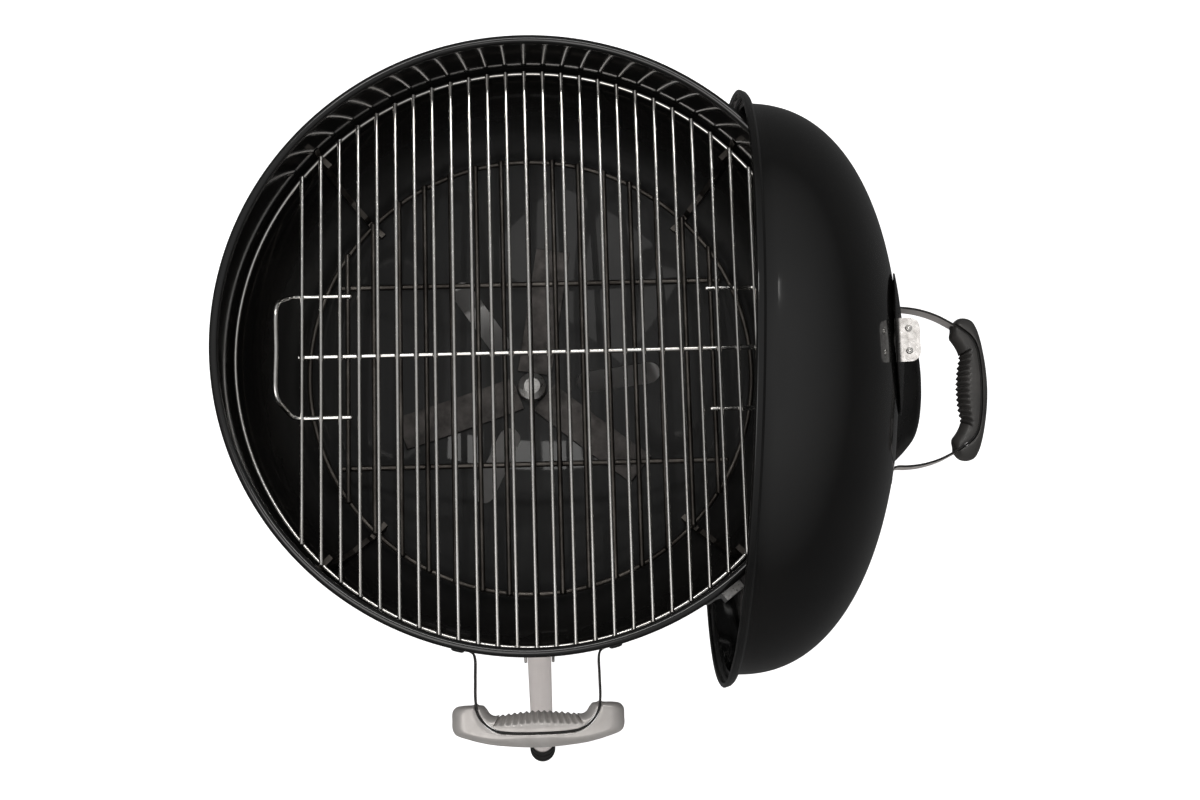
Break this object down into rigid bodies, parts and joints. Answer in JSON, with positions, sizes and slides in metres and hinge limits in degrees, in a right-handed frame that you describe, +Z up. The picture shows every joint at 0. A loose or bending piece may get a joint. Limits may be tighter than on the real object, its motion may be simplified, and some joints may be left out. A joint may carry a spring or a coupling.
{
  "type": "kettle charcoal grill",
  "caption": "Round kettle charcoal grill on legs and wheels, with its domed lid hanging in a wire cradle at the side, wire grates, bottom air sweeper and ash pan.",
  "frame": {"origin": "on the floor, under the middle of the whole object", "axes": "+Z up, the front leg and the bowl handle towards -Y, the hanging lid towards +X"},
  "size_m": [0.7332, 0.7172, 0.815],
  "materials": {
    "enamel": "gloss",
    "black_paint": "satin",
    "plated_wire": "satin",
    "charcoal_wire": "satin",
    "aluminium": "satin",
    "steel": "satin",
    "grip_plastic": "satin",
    "black_plastic": "matte",
    "tyre": "matte"
  },
  "bodies": {
    "root": {"bowl": "enamel", "grate_bracket_1": "steel", "grate_bracket_2": "steel", "grate_bracket_3": "steel", "grate_bracket_4": "steel", "front_leg": "aluminium", "rear_left_leg": "aluminium", "rear_right_leg": "aluminium", "front_foot_cap": "black_plastic", "rear_left_leg_plug": "black_plastic", "rear_right_leg_plug": "black_plastic", "front_leg_socket": "enamel", "rear_left_leg_socket": "enamel", "rear_right_leg_socket": "enamel", "wheel_axle": "steel", "front_pan_clip": "steel", "rear_left_pan_clip": "steel", "rear_right_pan_clip": "steel", "front_handle_strap": "steel", "front_handle_inner_grip": "grip_plastic", "front_handle_outer_grip": "grip_plastic", "front_handle_bolt_1": "steel", "front_handle_bolt_2": "steel", "lid_cradle": "plated_wire", "cradle_clamp_front": "steel", "cradle_clamp_rear": "steel"},
    "cooking_grate": {"cooking_grate": "plated_wire"},
    "charcoal_grate": {"charcoal_grate": "charcoal_wire"},
    "ash_pan": {"ash_pan": "aluminium"},
    "sweeper": {"sweeper_spindle": "steel", "sweeper_blade_1": "aluminium", "sweeper_blade_2": "aluminium", "sweeper_blade_3": "aluminium", "sweeper_lever": "steel", "sweeper_lever_knob": "black_plastic"},
    "lid": {"lid_shell": "enamel", "lid_heat_shield": "black_paint", "lid_handle_strap": "steel", "lid_handle_inner_grip": "grip_plastic", "lid_handle_outer_grip": "grip_plastic", "lid_handle_bolt_1": "steel", "lid_handle_bolt_2": "steel", "damper_pivot_rivet": "aluminium"},
    "lid_damper": {"lid_damper": "aluminium", "damper_tab_rivet_1": "aluminium", "damper_tab_rivet_2": "aluminium"},
    "left_wheel": {"left_wheel_tyre": "tyre", "left_wheel_disc": "black_plastic", "left_wheel_cap": "aluminium"},
    "right_wheel": {"right_wheel_tyre": "tyre", "right_wheel_disc": "black_plastic", "right_wheel_cap": "aluminium"}
  },
  "joints": [
    {"name": "cooking_grate_lift", "type": "slide", "parent": "root", "child": "cooking_grate", "axis": [0, 0, 1], "range_m": [0, 0.06]},
    {"name": "charcoal_grate_lift", "type": "slide", "parent": "root", "child": "charcoal_grate", "axis": [0, 0, 1], "range_m": [0, 0.07]},
    {"name": "ash_pan_lift", "type": "slide", "parent": "root", "child": "ash_pan", "axis": [0, 0, 1], "range_m": [0, 0.04]},
    {"name": "sweeper_turn", "type": "hinge", "parent": "root", "child": "sweeper", "pos_m": [-0.08081, 0.01136, 0.45], "axis": [0, 0, 1], "range_deg": [-45, 45]},
    {"name": "lid_lift", "type": "slide", "parent": "root", "child": "lid", "axis": [0, 0, 1], "range_m": [0, 0.06]},
    {"name": "lid_damper_turn", "type": "hinge", "parent": "lid", "child": "lid_damper", "pos_m": [0.26013, 0.00548, 0.643], "axis": [0.9812, -0.0129, 0.1924], "range_deg": [-45, 45]},
    {"name": "left_wheel_spin", "type": "hinge", "parent": "root", "child": "left_wheel", "pos_m": [-0.32681, 0.25857, 0.1], "axis": [1, 0, 0], "continuous": true},
    {"name": "right_wheel_spin", "type": "hinge", "parent": "root", "child": "right_wheel", "pos_m": [0.16519, 0.25857, 0.1], "axis": [1, 0, 0], "continuous": true}
  ]
}
